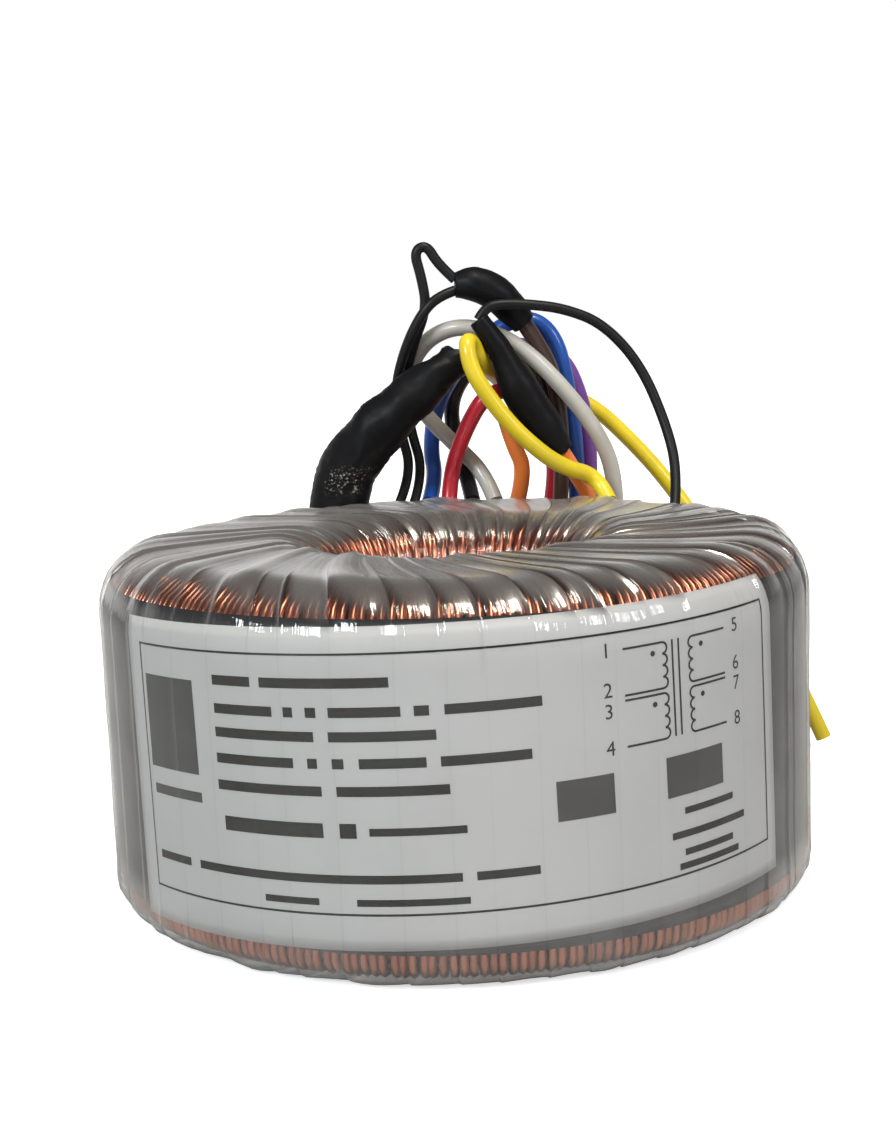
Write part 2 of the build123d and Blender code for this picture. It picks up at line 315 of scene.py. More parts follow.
@dataclass(frozen=True)
class Crackle:
    """Painted highlights: small pale specks in a patch on the front of the boot, just above the film, that
    stand for glints. Places in metres.
    """

    colour: Colour = (0.40, 0.37, 0.31)
    share: float = 0.6
    polish: float = 0.2
    scale: float = 2600.0
    glint: Pair = (0.55, 0.68)
    lean: float = 0.27
    sides: Pair = (0.0507, 0.0495)
    top: Pair = (0.0530, 0.0508)
    bottom: Pair = (0.0476, 0.0488)

    def glints(self, graph: Graph, place: Field) -> Field:
        """1 on a glint, 0 between them and outside the patch."""
        _, y, rise = graph.split(place)
        front = (y + rise * self.lean).ramp(*self.sides)
        patch = front * rise.ramp(*self.top) * rise.ramp(*self.bottom)
        return graph.noise(place, self.scale, 2.0).ramp(*self.glint) * patch


@dataclass(frozen=True)
class PlainFinish:
    """Moulded or coated surface with a faint grain."""

    name: str
    colour: Colour
    roughness: float = 0.4
    metallic: float = 0.0
    coat: float = 0.0
    specular: float = 0.5
    grain_scale: float = 500.0
    grain_depth: float = 0.03 * MM
    cloud_share: float = 0.12
    shade: float = 0.18
    crackle: Crackle | None = None

    def build(self) -> bpy.types.Material:
        """Makes the material."""
        graph = Graph.of_material(self.name)
        place = graph.place()
        grain = graph.noise(place, self.grain_scale, 4.0)
        cloud = graph.noise(place, self.grain_scale * self.cloud_share, 3.0)
        darker = tuple(part * (1 - self.shade) for part in self.colour)
        colour = graph.mix(darker, self.colour, cloud.ramp(0.3, 0.65))
        rough = (self.roughness - 0.05) + grain * 0.12
        # Painted highlights: pale specks of colour stand for glints, with lower roughness there as well.
        if self.crackle:
            glints = self.crackle.glints(graph, place)
            colour = graph.mix(colour, self.crackle.colour, glints * self.crackle.share)
            rough = rough - glints * self.crackle.polish
        surface = graph.principled(
            Base_Color=colour,
            Roughness=rough,
            Metallic=self.metallic,
            Specular_IOR_Level=self.specular,
            Coat_Weight=self.coat,
            Normal=graph.bump(grain, self.grain_depth),
        )
        return graph.finish(surface)


@dataclass(frozen=True)
class PaperFinish:
    """Label stock with soft fibres, a little uneven in tone."""

    name: str
    colour: Colour = (0.405, 0.412, 0.42)
    darkest: float = 0.90
    roughness: float = 0.55
    fibre_scale: float = 1400.0
    fibre_stretch: Point = (1.0, 1.0, 0.4)
    fibre_depth: float = 0.02 * MM
    cloud_scale: float = 60.0

    def build(self) -> bpy.types.Material:
        """Makes the material."""
        graph = Graph.of_material(self.name)
        place = graph.place()
        fibre = graph.noise(graph.stretched(place, self.fibre_stretch), self.fibre_scale, 4.0, 0.6)
        cloud = graph.noise(place, self.cloud_scale, 2.0)
        darker = tuple(part * self.darkest for part in self.colour)
        surface = graph.principled(
            Base_Color=graph.mix(darker, self.colour, (cloud * 0.7 + fibre * 0.4).clamped()),
            Roughness=self.roughness,
            Normal=graph.bump(fibre, self.fibre_depth),
        )
        return graph.finish(surface)


@dataclass(frozen=True)
class FilmFinish:
    """Clear glossy tape: see-through face on and mirror-like at a slant.

    The film's UV map counts laps along U and runs once round the section along V. The laps stack up
    on the top and at the foot, where they mirror more, and a dark sheet of painted shade, partly the
    dimming of the stacked film, lies over what is under them. Along each lap's edges a darker gloss
    is painted shade for the shadow of its step. Each stack starts at heights of the ring, in metres,
    and leaves a gap along a side of its lap.
    """

    name: str
    tint: Colour = (0.80, 0.795, 0.775)
    worn_tint: Colour = (0.62, 0.60, 0.57)
    # Painted shade: the darker gloss along a lap's edges, a line that stands for the shadow of its step.
    edge_tint: Colour = (0.20, 0.185, 0.175)
    clear_tint: Colour = (0.985, 0.98, 0.965)
    # Painted shade, partly the dimming of stacked film: colours and roughness of the dark sheet laid over
    # what is under the laps.
    smoke: Colour = (0.045, 0.030, 0.025)
    deep_smoke: Colour = (0.02, 0.012, 0.01)
    smoke_roughness: float = 0.5
    metallic: float = 0.85
    face_on: float = 0.04
    haze: float = 0.010
    # Painted shade: how much more of the darker gloss covers a lap's edges.
    edge_haze: float = 0.05
    wall_faces: float = 1.5
    top_faces: float = 8.0
    gap_across: Pair = (0.34, 0.03)
    gap_reach: Pair = (0.029, 0.041)
    lap_step: float = 0.0014
    lap_slope: float = 0.0020
    side_drop: float = 0.036
    top_stack: Pair = (0.0440, 0.0468)
    foot_stack: Pair = (0.0085, 0.0045)
    foot_stack_share: float = 0.45
    top_shade: Pair = (0.0436, 0.0460)
    top_shade_share: float = 0.68
    foot_shade: Pair = (0.0018, 0.0006)
    foot_shade_share: float = 0.6
    cloud_scale: float = 90.0
    streak_stretch: Point = (7.0, 5.0, 1.0)
    crease_stretch: Point = (3.0, 22.0, 1.0)
    crease_depth: float = 0.4 * MM
    lap_edges: tuple[Pair, ...] = ((0.035, 0.0), (0.975, 1.0))

    def _stack_and_shade(self, graph: Graph, place: Field, across: Field, own: Field) -> tuple[Field, Field]:
        """How far the laps stack up, and how far painted shade, partly the dimming of stacked film, darkens
        what lies under them.

        Args:
            graph: The material's node tree.
            place: Object coordinates.
            across: Place across the lap, 0 to 1.
            own: A random number of the lap's own.

        Returns:
            The stack and the painted shade, each 0 to 1.
        """
        x, y, rise = graph.split(place)
        reach = (x * x + y * y) ** 0.5
        gap = across.ramp(*self.gap_across) * reach.ramp(*self.gap_reach) * (0.45 + own * 0.8)
        laid = (1 - gap).clamped()
        level = rise + own * self.lap_step + across * self.lap_slope - (x * x) ** 0.5 * self.side_drop
        stack = level.ramp(*self.top_stack) * laid + rise.ramp(*self.foot_stack) * self.foot_stack_share
        # Painted shade, partly the dimming of stacked film: darkens the top shoulder, less towards the left
        # and right sides, and the lowest rim of the foot.
        shade = level.ramp(*self.top_shade) * laid * self.top_shade_share
        return stack, shade + rise.ramp(*self.foot_shade) * self.foot_shade_share

    def build(self) -> bpy.types.Material:
        """Makes the material."""
        graph = Graph.of_material(self.name)
        uv = graph.field("ShaderNodeUVMap", {"uv_map": "laps"})
        along, _, _ = graph.split(uv)
        lap = along.floor()
        across = along.fraction()
        own = graph.field("ShaderNodeTexWhiteNoise", {"noise_dimensions": "1D"}, {"W": lap}, "Value")
        place = graph.place()
        cloud = graph.noise(place, self.cloud_scale, 3.0)
        streak = graph.noise(graph.stretched(uv, self.streak_stretch), 1.0, 3.0)
        crease = graph.noise(graph.stretched(uv, self.crease_stretch), 1.0, 3.0, 0.55)
        # Painted shade: along each lap's edges the gloss is darker and covers more of the film, a dark line
        # for the shadow of the lap's step.
        start, stop = self.lap_edges
        edge = across.ramp(*start) + across.ramp(*stop)
        stack, shade = self._stack_and_shade(graph, place, across, own)

        facing = graph.field("ShaderNodeLayerWeight", inputs={"Blend": 0.5}, output="Facing")
        slant = self.face_on + facing**5 * (1 - self.face_on)
        faces = self.wall_faces + stack * self.top_faces * (0.8 + own * 0.4)
        mirror = slant * faces / (1 + slant * (faces - 1))
        veil = self.haze * (0.3 + own + streak) + edge * self.edge_haze
        tone = graph.mix(self.tint, self.worn_tint, cloud.ramp(0.35, 0.7))
        glossy = graph.principled(
            Base_Color=graph.mix(tone, self.edge_tint, edge * 0.7),
            Roughness=0.08 + stack * 0.19,
            Metallic=self.metallic,
            Normal=graph.bump(crease * 0.5 + streak * 0.5, self.crease_depth, 0.7 - stack * 0.35),
        )
        clear = graph.field("ShaderNodeBsdfTransparent", inputs={"Color": self.clear_tint})
        # Painted shade, partly the dimming of stacked film: a dark diffuse sheet blended over the
        # see-through film by the shade share.
        smoke = graph.principled(
            Base_Color=graph.mix(self.deep_smoke, self.smoke, cloud), Roughness=self.smoke_roughness
        )
        body = graph.blend(shade, clear, smoke)
        return graph.finish(graph.blend((mirror + veil).clamped(), body, glossy))


class Lay(Enum):
    """How a cord lies, in the frame's words."""

    LOOSE = "loose"


class FarEnd(Enum):
    """What a cord ends in, in the frame's words."""

    BARE = "bare"
    FITTING = "fitting"


@dataclass(frozen=True)
class RingSection:
    """Section of the finished ring, read at any depth below its surface. Sizes in metres."""

    radius: float
    hole: float
    height: float
    top_edge: float = 8.0 * MM
    foot_edge: float = 3.5 * MM
    hole_edge: float = 8.0 * MM

    def wall_point(self, rise: float, depth: float) -> tuple[float, float]:
        """Radius and height of a place on the outer wall.

        Args:
            rise: Distance up the wall and on over its rounded edge, from the floor's level.
            depth: Distance below the finished surface.

        Returns:
            The radius and height.
        """
        spring = self.height - self.top_edge
        edge = self.top_edge - depth
        if rise <= spring:
            return self.radius - depth, rise
        turn = (rise - spring) / self.top_edge
        centre = self.radius - self.top_edge
        return centre + edge * math.cos(turn), spring + edge * math.sin(turn)

    def outline(self, depth: float, spacing: float) -> list[tuple[float, float]]:
        """Closed outline from mid-height of the hole, up, over the top and down the outer wall.

        Args:
            depth: Distance below the finished surface.
            spacing: Distance between points.

        Returns:
            Radius and height of each point.
        """
        outer = self.radius - depth
        inner = self.hole + depth
        low, high = depth, self.height - depth
        hole = self.hole_edge - depth
        top = self.top_edge - depth
        foot = max(self.foot_edge - depth, 0.5 * MM)
        points: list[tuple[float, float]] = []

        def run(start: tuple[float, float], stop: tuple[float, float]) -> None:
            """Adds a straight run without its last point."""
            steps = max(1, round(math.dist(start, stop) / spacing))
            for i in range(steps):
                share = i / steps
                points.append(tuple(a + (b - a) * share for a, b in zip(start, stop)))

        def arc(centre: tuple[float, float], radius: float, start: float, stop: float) -> None:
            """Adds an arc, by angle in degrees, without its last point."""
            steps = max(4, round(radius * math.pi / 2 / spacing))
            for i in range(steps):
                angle = math.radians(start + (stop - start) * i / steps)
                points.append((centre[0] + radius * math.cos(angle), centre[1] + radius * math.sin(angle)))

        run((inner, self.height / 2), (inner, high - hole))
        arc((inner + hole, high - hole), hole, 180, 90)
        run((inner + hole, high), (outer - top, high))
        arc((outer - top, high - top), top, 90, 0)
        run((outer, high - top), (outer, low + foot))
        arc((outer - foot, low + foot), foot, 0, -90)
        run((outer - foot, low), (inner + hole, low))
        arc((inner + hole, low + hole), hole, -90, -180)
        run((inner, low + hole), (inner, self.height / 2))
        return points


def ring_from_frame() -> RingSection:
    """Reads the ring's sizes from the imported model."""
    low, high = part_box("outer_film")
    hole = next(m for m in frame["record"]["mounts"] if m["name"] == "centre_hole")
    return RingSection(radius=high.x, hole=hole["dims"]["r_mm"] * MM, height=high.z - low.z)


def link_piece(
    name: str, data: bpy.types.ID, material: bpy.types.Material, slot: str, *stands_for: str
) -> bpy.types.Object:
    """Adds a finished piece to the scene, parented under the root body.

    Args:
        name: The piece's name.
        data: Its mesh or curve.
        material: Its finish.
        slot: The record's material slot. Not used.
        stands_for: The nodes that it replaces.

    Returns:
        The object.
    """
    piece = bpy.data.objects.new(name, data)
    bpy.context.scene.collection.objects.link(piece)
    data.materials.append(material)
    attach(piece, ROOT)
    if stands_for:
        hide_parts(*stands_for)
    LOG.info("%s made", name)
    return piece


def mesh_from(bm: bmesh.types.BMesh, name: str, smooth: bool = True) -> bpy.types.Mesh:
    """Turns a bmesh into a mesh and frees it."""
    for face in bm.faces:
        face.smooth = smooth
    mesh = bpy.data.meshes.new(name)
    bm.to_mesh(mesh)
    bm.free()
    return mesh


def closed_outline(bm: bmesh.types.BMesh, points: Sequence[tuple[float, float]]) -> list:
    """Adds a closed outline in the XZ plane, with its place along the run on each vertex.

    Args:
        bm: The bmesh.
        points: Radius and height of each point.

    Returns:
        The outline's vertices and edges.
    """
    run = bm.verts.layers.float.new("run")
    verts = []
    for i, (radius, height) in enumerate(points):
        vert = bm.verts.new((radius, 0.0, height))
        vert[run] = i / len(points)
        verts.append(vert)
    edges = [bm.edges.new((a, b)) for a, b in zip(verts, verts[1:] + verts[:1])]
    return [*verts, *edges]


def tube_rings(
    bm: bmesh.types.BMesh, stations: Sequence[tuple[Vector, Vector, float]], sides: int, closed: bool
) -> None:
    """Bridges round sections into a tube.

    Args:
        bm: The bmesh.
        stations: Centre, direction and radius of each section.
        sides: Corners of a section.
        closed: Whether the last section joins the first.
    """
    rings = []
    for centre, along, radius in stations:
        turn = along.to_track_quat("Z", "Y").to_matrix().to_4x4()
        made = bmesh.ops.create_circle(
            bm, segments=sides, radius=radius, cap_ends=False, matrix=Matrix.Translation(centre) @ turn
        )
        rings.append(list(dict.fromkeys(edge for vert in made["verts"] for edge in vert.link_edges)))
    following = rings[1:] + rings[:1] if closed else rings[1:]
    for ring, other in zip(rings, following):
        bmesh.ops.bridge_loops(bm, edges=ring + other)
    if not closed:
        for ring in (rings[0], rings[-1]):
            bmesh.ops.contextual_create(bm, geom=ring)
    bmesh.ops.recalc_face_normals(bm, faces=bm.faces[:])


@dataclass
class OuterWinding:
    """Copper strands of the last winding, side by side round the ring."""

    ring: RingSection
    depth: float = 0.95 * MM
    wire: float = 1.10 * MM
    count: int = 256
    spacing: float = 2.4 * MM
    sides: int = 6
    layers: int = 3
    sink: float = 0.42
    sink_full: float = 5 * MM
    sink_none: float = 18 * MM
    jitter: float = 0.1
    lean: float = 0.3
    bow: float = 0.2
    bow_pitch: float = 60.0
    seed: int = 7

    def _strand(self, bm: bmesh.types.BMesh, layer: int) -> None:
        """Builds one strand at angle 0, sunk deeper inside the hole for each layer."""
        base = self.ring.outline(self.depth + self.wire / 2, self.spacing)
        inner_limit = self.ring.hole + self.sink_full
        outer_limit = self.ring.hole + self.sink_none
        stations = []
        for i, (radius, height) in enumerate(base):
            after = base[(i + 1) % len(base)]
            before = base[i - 1]
            along = Vector((after[0] - before[0], 0.0, after[1] - before[1])).normalized()
            inward = Vector((-along.z, 0.0, along.x))
            share = 1 - min(1.0, max(0.0, (radius - inner_limit) / (outer_limit - inner_limit)))
            centre = Vector((radius, 0.0, height)) - inward * share * layer * self.wire * self.sink
            stations.append((centre, along, self.wire / 2))
        tube_rings(bm, stations, self.sides, closed=True)

    def build(self) -> bpy.types.Object:
        """Makes all the strands as one piece."""
        rng = random.Random(self.seed)
        bm = bmesh.new()
        tone = bm.verts.layers.float.new("strand")
        pitch = 2 * math.pi / self.count
        for layer in range(self.layers):
            first = bmesh.new()
            self._strand(first, layer)
            template = mesh_from(first, "strand")
            for i in range(layer, self.count, self.layers):
                known = len(bm.verts)
                bm.from_mesh(template)
                bm.verts.ensure_lookup_table()
                fresh = bm.verts[known:]
                angle = (i + 0.5 + rng.uniform(-self.jitter, self.jitter)) * pitch
                lean = rng.uniform(-1.0, 1.0) * self.lean * pitch
                shade = rng.random()
                for vert in fresh:
                    vert[tone] = shade
                    slope = lean * (vert.co.z / self.ring.height - 0.5)
                    seen = Vector((i * 0.37, vert.co.x * self.bow_pitch, vert.co.z * self.bow_pitch))
                    bow = noise.noise(seen) * self.bow * pitch
                    vert.co = Matrix.Rotation(angle + slope + bow, 3, "Z") @ vert.co
            bpy.data.meshes.remove(template)
        copper = CopperFinish("enamelled_copper").build()
        mesh = mesh_from(bm, "winding_strands")
        return link_piece("winding_strands", mesh, copper, "secondary_wire", "secondary_winding_b")


@dataclass
class OuterBand:
    """Dark insulating strip round the wall, under the label."""

    ring: RingSection
    depth: float = 0.84 * MM
    bottom: float = 4.5 * MM
    top: float = 43.15 * MM
    steps: int = 180
    rows: int = 34
    ripple: float = 0.04 * MM
    ripple_pitch: float = 120.0
    thickness: float = 0.12 * MM

    def build(self) -> bpy.types.Object:
        """Makes the strip."""
        bm = bmesh.new()
        verts = []
        for i in range(self.rows + 1):
            rise = self.bottom + (self.top - self.bottom) * i / self.rows
            radius, height = self.ring.wall_point(rise, self.depth)
            verts.append(bm.verts.new((radius, 0.0, height)))
        edges = [bm.edges.new(pair) for pair in zip(verts, verts[1:])]
        bmesh.ops.spin(
            bm,
            geom=[*verts, *edges],
            cent=(0, 0, 0),
            axis=(0, 0, 1),
            angle=2 * math.pi,
            steps=self.steps,
            use_merge=True,
        )
        bmesh.ops.recalc_face_normals(bm, faces=bm.faces[:])
        for vert in bm.verts:
            flat = Vector((vert.co.x, vert.co.y, 0)).normalized()
            vert.co += flat * noise.noise(vert.co * self.ripple_pitch) * self.ripple
        bmesh.ops.solidify(bm, geom=bm.faces[:], thickness=-self.thickness)
        band = PlainFinish("band_strip", (0.013, 0.014, 0.017), roughness=0.38, grain_scale=300.0)
        return link_piece("band_strip", mesh_from(bm, "band_strip"), band.build(), "band", "outer_band")


@dataclass
class OuterFilm:
    """Clear tape wrapped through the hole, each lap over the edge of the last."""

    ring: RingSection
    depth: float = 0.40 * MM
    laps: int = 54
    places: tuple[float, ...] = (0.0, 0.05, 0.2, 0.4, 0.6, 0.8, 0.965)
    spacing: float = 1.5 * MM
    wall_step: float = 0.07 * MM
    edge_step: float = 0.24 * MM
    belly: float = 0.50 * MM
    pleat: float = 0.34 * MM
    dent: float = 0.10 * MM
    sweep: float = math.radians(26)
    sweep_power: float = 1.4
    sweep_ease: float = 2.4
    open_above: Pair = (36 * MM, 43 * MM)
    open_below: Pair = (5 * MM, 1 * MM)
    foot_share: float = 0.6
    gather_reach: float = 14 * MM
    over_top: float = 0.3 * MM
    lift_range: Pair = (0.6, 1.3)
    swell_range: Pair = (-0.5, 1.2)
    shift_range: Pair = (-0.3, 0.3)
    waver: float = 0.2
    drift: float = 0.18
    seed: int = 11

    def _turn_at(self, radius: float, height: float) -> float:
        """Angle by which a lap has turned at a place of the section, most at the hole."""
        reach = (self.ring.radius - radius) / (self.ring.radius - self.ring.hole)
        side = 1 if height > self.ring.height / 2 else -1
        over = min(1.0, abs(height / self.ring.height - 0.5) * self.sweep_ease)
        return -side * self.sweep * (reach**self.sweep_power) * over

    def _openness(self, height: float) -> float:
        """0 where a lap lies flat on the wall, 1 where it bridges the rounded edges and the top."""
        high, low = (
            min(1.0, max(0.0, (height - shut) / (wide - shut)))
            for shut, wide in (self.open_above, self.open_below)
        )
        return max(high, low * self.foot_share)

    def build(self) -> bpy.types.Object:
        """Makes the film."""
        bm = bmesh.new()
        outline = self.ring.outline(self.depth, self.spacing)
        geometry = closed_outline(bm, outline)
        columns = self.laps * len(self.places)
        bmesh.ops.spin(
            bm,
            geom=geometry,
            cent=(0, 0, 0),
            axis=(0, 0, 1),
            angle=2 * math.pi,
            steps=columns,
            use_merge=True,
        )
        bmesh.ops.recalc_face_normals(bm, faces=bm.faces[:])
        bm.normal_update()
        self._map_laps(bm, columns)
        self._lay_laps(bm, columns)
        film = FilmFinish("clear_film").build()
        return link_piece("film_laps", mesh_from(bm, "film_laps"), film, "film", "outer_film")

    def _column(self, vert: bmesh.types.BMVert, columns: int) -> int:
        """Column of a vertex that still lies on its even spoke."""
        return round((math.atan2(vert.co.y, vert.co.x) % (2 * math.pi)) / (2 * math.pi) * columns) % columns

    def _map_laps(self, bm: bmesh.types.BMesh, columns: int) -> None:
        """Writes the UV map that counts laps and runs round the section."""
        uv = bm.loops.layers.uv.new("laps")
        run = bm.verts.layers.float["run"]
        each = len(self.places)
        for face in bm.faces:
            spokes = [self._column(loop.vert, columns) for loop in face.loops]
            runs = [loop.vert[run] for loop in face.loops]
            for loop, spoke, along in zip(face.loops, spokes, runs):
                if spoke == 0 and max(spokes) > columns / 2:
                    spoke = columns
                if along == 0 and max(runs) > 0.5:
                    along = 1.0
                lap = spoke // each + self.places[spoke % each]
                loop[uv].uv = (lap, along)

    def _lay_laps(self, bm: bmesh.types.BMesh, columns: int) -> None:
        """Moves each vertex to its place on a lap, with the laps' steps, bellies, pleats and dents."""
        rng = random.Random(self.seed)
        each = len(self.places)
        pitch = 2 * math.pi / self.laps
        lift, swell, shift = (
            [rng.uniform(*limits) for _ in range(self.laps)]
            for limits in (self.lift_range, self.swell_range, self.shift_range)
        )
        moved = []
        for vert in bm.verts:
            spoke = self._column(vert, columns)
            lap, place = divmod(spoke, each)
            across = self.places[place]
            radius = math.hypot(vert.co.x, vert.co.y)
            height = vert.co.z
            open_share = self._openness(height)
            start = lap + shift[lap]
            stop = lap + 1 + shift[(lap + 1) % self.laps]
            angle = (start + (stop - start) * across) * pitch + self._turn_at(radius, height)
            seen = Vector((lap * 1.7, radius * 55, height * 55))
            angle += (1 - across) * across * 4 * noise.noise(seen * 0.6) * self.waver * pitch
            seen = Vector((lap * 0.35, radius * 40, height * 40))
            angle += noise.noise(seen) * self.drift * pitch * open_share
            step = self.wall_step + (self.edge_step - self.wall_step) * open_share
            out = step * lift[lap] * (1 - across)
            out += self.belly * swell[lap] * math.sin(math.pi * across) * open_share
            gather = max(0.0, 1 - (radius - self.ring.hole) / self.gather_reach)
            out += self.pleat * gather * noise.noise(Vector((spoke * 0.9, radius * 25, height * 25)))
            out += self.dent * noise.noise(Vector((math.cos(angle), math.sin(angle), height * 22)) * 6)
            flat = Matrix.Rotation(angle - math.atan2(vert.co.y, vert.co.x), 3, "Z")
            moved.append(flat @ (vert.co + vert.normal * out))
        for vert, place in zip(bm.verts, moved):
            reach = math.hypot(place.x, place.y)
            if reach > self.ring.radius:
                place.xy = place.xy * (self.ring.radius / reach)
            place.z = min(max(place.z, 0.0), self.ring.height + self.over_top)
            vert.co = place


@dataclass
class Label:
    """Paper label, a little askew, with a border, plain bars and a winding diagram printed on it.

    Places on it are in millimetres about its centre. Each row is a height, a bar's height and the
    two ends of each bar; each field is a left end, a middle height, a width and a height.
    """

    ring: RingSection
    depth: float = 0.62 * MM
    left: float = -47.4
    right: float = 44.2
    height: float = 37.2
    centre_angle: float = 0.3
    centre_rise: float = 23.95
    tilt: float = 1.9
    thickness: float = 0.1 * MM
    print_lift: float = 0.025 * MM
    cell: float = 1.4
    line: float = 0.26
    border: tuple[float, float, float, float] = (-44.3, 42.2, -14.4, 15.3)
    diagram_centre: float = 26.4
    diagram_top: float = 13.2
    coils: tuple[Pair, ...] = ((1, -1.9), (-1, 2.6))
    coil_turns: int = 4
    coil_radius: float = 0.66
    coil_drop: float = 5.85
    wire_length: float = 5.2
    dot_place: Pair = (1.3, 1.1)
    dot_radius: float = 0.32
    core_lines: Pair = (-0.45, 0.45)
    core_drop: float = 5.5
    core_length: float = 11.2
    number_size: float = 2.4
    number_columns: Pair = (17.2, 36.2)
    number_rows: tuple[float, ...] = (13.2, 8.7, 6.3, 2.1)
    rows: tuple[tuple[float, float, tuple[tuple[float, float], ...]], ...] = (
        (12.05, 1.15, ((-30.2, -24.6), (-23.3, -7.5))),
        (8.75, 1.15, ((-30.2, -21.9), (-20.4, -19.2), (-17.6, -16.3))),
        (8.75, 1.15, ((-14.8, -6.4), (-4.9, -3.2), (-1.5, 9.4))),
        (6.0, 1.15, ((-30.3, -16.8), (-15.0, -2.6))),
        (2.95, 1.15, ((-30.4, -19.6), (-17.8, -16.6), (-14.8, -13.4), (-11.6, -3.9), (-2.3, 7.9))),
        (-0.2, 1.15, ((-30.5, -16.3), (-14.5, -1.5))),
        (-4.7, 1.7, ((-29.9, -16.5), (-14.5, -12.5))),
        (-4.85, 0.9, ((-11.0, 0.1),)),
        (-10.3, 1.0, ((-42.8, -36.5), (-34.8, -0.8), (0.8, 8.0))),
        (-13.0, 0.8, ((-24.8, -17.7), (-13.1, -0.1))),
        (-6.9, 0.8, ((26.8, 34.8),)),
        (-9.6, 0.85, ((24.8, 36.9),)),
        (-11.8, 0.8, ((26.6, 34.6),)),
        (-13.4, 0.8, ((25.7, 35.6),)),
    )
    fields: tuple[tuple[float, float, float, float], ...] = (
        (-43.3, 6.1, 9.6, 11.2),
        (-42.9, -2.2, 9.4, 1.2),
        (10.4, -2.9, 7.0, 4.6),
        (24.4, -2.6, 8.8, 4.8),
    )

    def _wrap(self, bm: bmesh.types.BMesh, lift: float) -> None:
        """Lays flat work, in millimetres about the label's centre, on the wall."""
        turn = math.radians(self.tilt)
        for vert in bm.verts:
            x, y = vert.co.x, vert.co.y
            along = x * math.cos(turn) - y * math.sin(turn)
            rise = x * math.sin(turn) + y * math.cos(turn) + self.centre_rise
            angle = math.radians(self.centre_angle) + along * MM / self.ring.radius
            radius, height = self.ring.wall_point(rise * MM, self.depth - lift)
            vert.co = (radius * math.sin(angle), -radius * math.cos(angle), height)
        bm.normal_update()
        for face in bm.faces:
            if face.normal.dot(Vector((face.calc_center_median().x, face.calc_center_median().y, 0))) < 0:
                face.normal_flip()

    def _bar(self, bm: bmesh.types.BMesh, x: float, y: float, width: float, height: float) -> None:
        """Adds a flat bar from its left end and middle, in cells short enough to bend."""
        cells = max(1, math.ceil(width / self.cell))
        rows = max(1, math.ceil(height / self.cell))
        place = Matrix.Translation((x + width / 2, y, 0)) @ Matrix.Diagonal((width, height, 1, 1))
        bmesh.ops.create_grid(bm, x_segments=cells, y_segments=rows, size=0.5, matrix=place)

    def _hump(self, bm: bmesh.types.BMesh, x: float, y: float, radius: float, side: int) -> None:
        """Adds a half turn of a coil symbol, bulging to one side of x."""
        inner = bm.verts.new((x, y + radius - self.line / 2, 0))
        outer = bm.verts.new((x, y + radius + self.line / 2, 0))
        edge = bm.edges.new((inner, outer))
        bmesh.ops.spin(
            bm,
            geom=[inner, outer, edge],
            cent=(x, y, 0),
            axis=(0, 0, 1),
            angle=math.pi * side,
            steps=10,
            use_merge=False,
        )

    def _diagram(self, bm: bmesh.types.BMesh) -> None:
        """Adds the winding diagram: two coils each side of the core's lines, with their ends."""
        centre, top = self.diagram_centre, self.diagram_top
        radius = self.coil_radius
        for side, offset in self.coils:
            x = centre + offset
            for coil_top in (top, top - self.coil_drop):
                for i in range(self.coil_turns):
                    self._hump(bm, x, coil_top - radius * (2 * i + 1), radius, -side)
                for end in (coil_top, coil_top - 2 * radius * self.coil_turns):
                    left = x - self.wire_length if side > 0 else x
                    self._bar(bm, left, end, self.wire_length, self.line)
                dot_x, dot_drop = self.dot_place
                dot = Matrix.Translation((x - side * dot_x, coil_top - dot_drop, 0))
                bmesh.ops.create_circle(bm, cap_ends=True, segments=12, radius=self.dot_radius, matrix=dot)
        for offset in self.core_lines:
            left = centre + offset - self.line / 2
            self._bar(bm, left, top - self.core_drop, self.line, self.core_length)

    def _numbers(self, bm: bmesh.types.BMesh) -> None:
        """Adds plain numbers at the ends of the diagram's wires."""
        places = [(x, y) for x in self.number_columns for y in self.number_rows]
        for number, (x, y) in enumerate(places, start=1):
            text = bpy.data.curves.new("number", "FONT")
            text.body = str(number)
            text.size = self.number_size
            text.align_x = "CENTER"
            text.align_y = "CENTER"
            carrier = bpy.data.objects.new("number", text)
            mesh = bpy.data.meshes.new_from_object(carrier)
            mesh.transform(Matrix.Translation((x, y, 0)))
            bm.from_mesh(mesh)
            bpy.data.objects.remove(carrier)
            bpy.data.curves.remove(text)
            bpy.data.meshes.remove(mesh)

    def build(self) -> None:
        """Makes the paper and its print."""
        paper = bmesh.new()
        self._bar(paper, self.left, 0, self.right - self.left, self.height)
        self._wrap(paper, 0.0)
        bmesh.ops.solidify(paper, geom=paper.faces[:], thickness=self.thickness)
        finish = PaperFinish("label_paper").build()
        link_piece("label_paper", mesh_from(paper, "label_paper"), finish, "label", "label")

        ink = bmesh.new()
        left, right, low, high = self.border
        for y in (high, low):
            self._bar(ink, left, y, right - left, self.line)
        for x in (left, right - self.line):
            self._bar(ink, x, (low + high) / 2, self.line, high - low)
        for rise, height, words in self.rows:
            for start, stop in words:
                self._bar(ink, start, rise, stop - start, height)
        self._diagram(ink)
        self._numbers(ink)
        self._wrap(ink, self.print_lift)
        black = PlainFinish("printing_ink", (0.012, 0.012, 0.013), roughness=0.5, specular=0.2).build()
        link_piece("label_print", mesh_from(ink, "label_print", smooth=False), black, "label")

        blocks = bmesh.new()
        for block in self.fields:
            self._bar(blocks, *block)
        self._wrap(blocks, self.print_lift)
        grey = PlainFinish("printing_grey", (0.05, 0.05, 0.052), roughness=0.5, specular=0.2).build()
        link_piece("label_fields", mesh_from(blocks, "label_fields", smooth=False), grey, "label")


@dataclass(frozen=True)
class LeadRoute:
    """One flexible lead: its colour, its route in millimetres and what holds its start."""

    name: str
    colour: Colour
    diameter: float
    length: float
    far_end: FarEnd
    route: tuple[Point, ...]
    sleeves: tuple[str, ...] = ()


